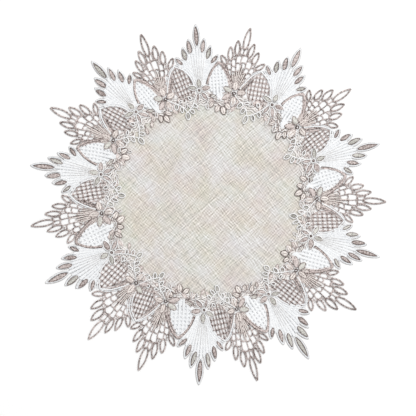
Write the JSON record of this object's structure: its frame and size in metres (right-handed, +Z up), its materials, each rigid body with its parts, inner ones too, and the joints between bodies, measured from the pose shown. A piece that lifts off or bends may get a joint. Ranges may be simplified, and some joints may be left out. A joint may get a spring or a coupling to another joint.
{
  "type": "lace doily",
  "caption": "Round linen doily lying flat, with a wide pointed lace border of satin petals, open nets, leaves and flowers lapped over the edge of a plain woven centre.",
  "frame": {"origin": "middle of the doily's outline on the surface that it lies on", "axes": "+Z up out of the face, +Y towards the picture's top edge, +X to the right"},
  "size_m": [0.3936, 0.3986, 0.0026],
  "materials": {
    "linen": "plain-woven unbleached linen, slubby and matt",
    "lace_thread": "satin-stitched rayon thread in grey taupe, with white nets"
  },
  "bodies": {
    "root": {"centre_panel": "linen", "lace_border": "lace_thread"}
  },
  "joints": []
}
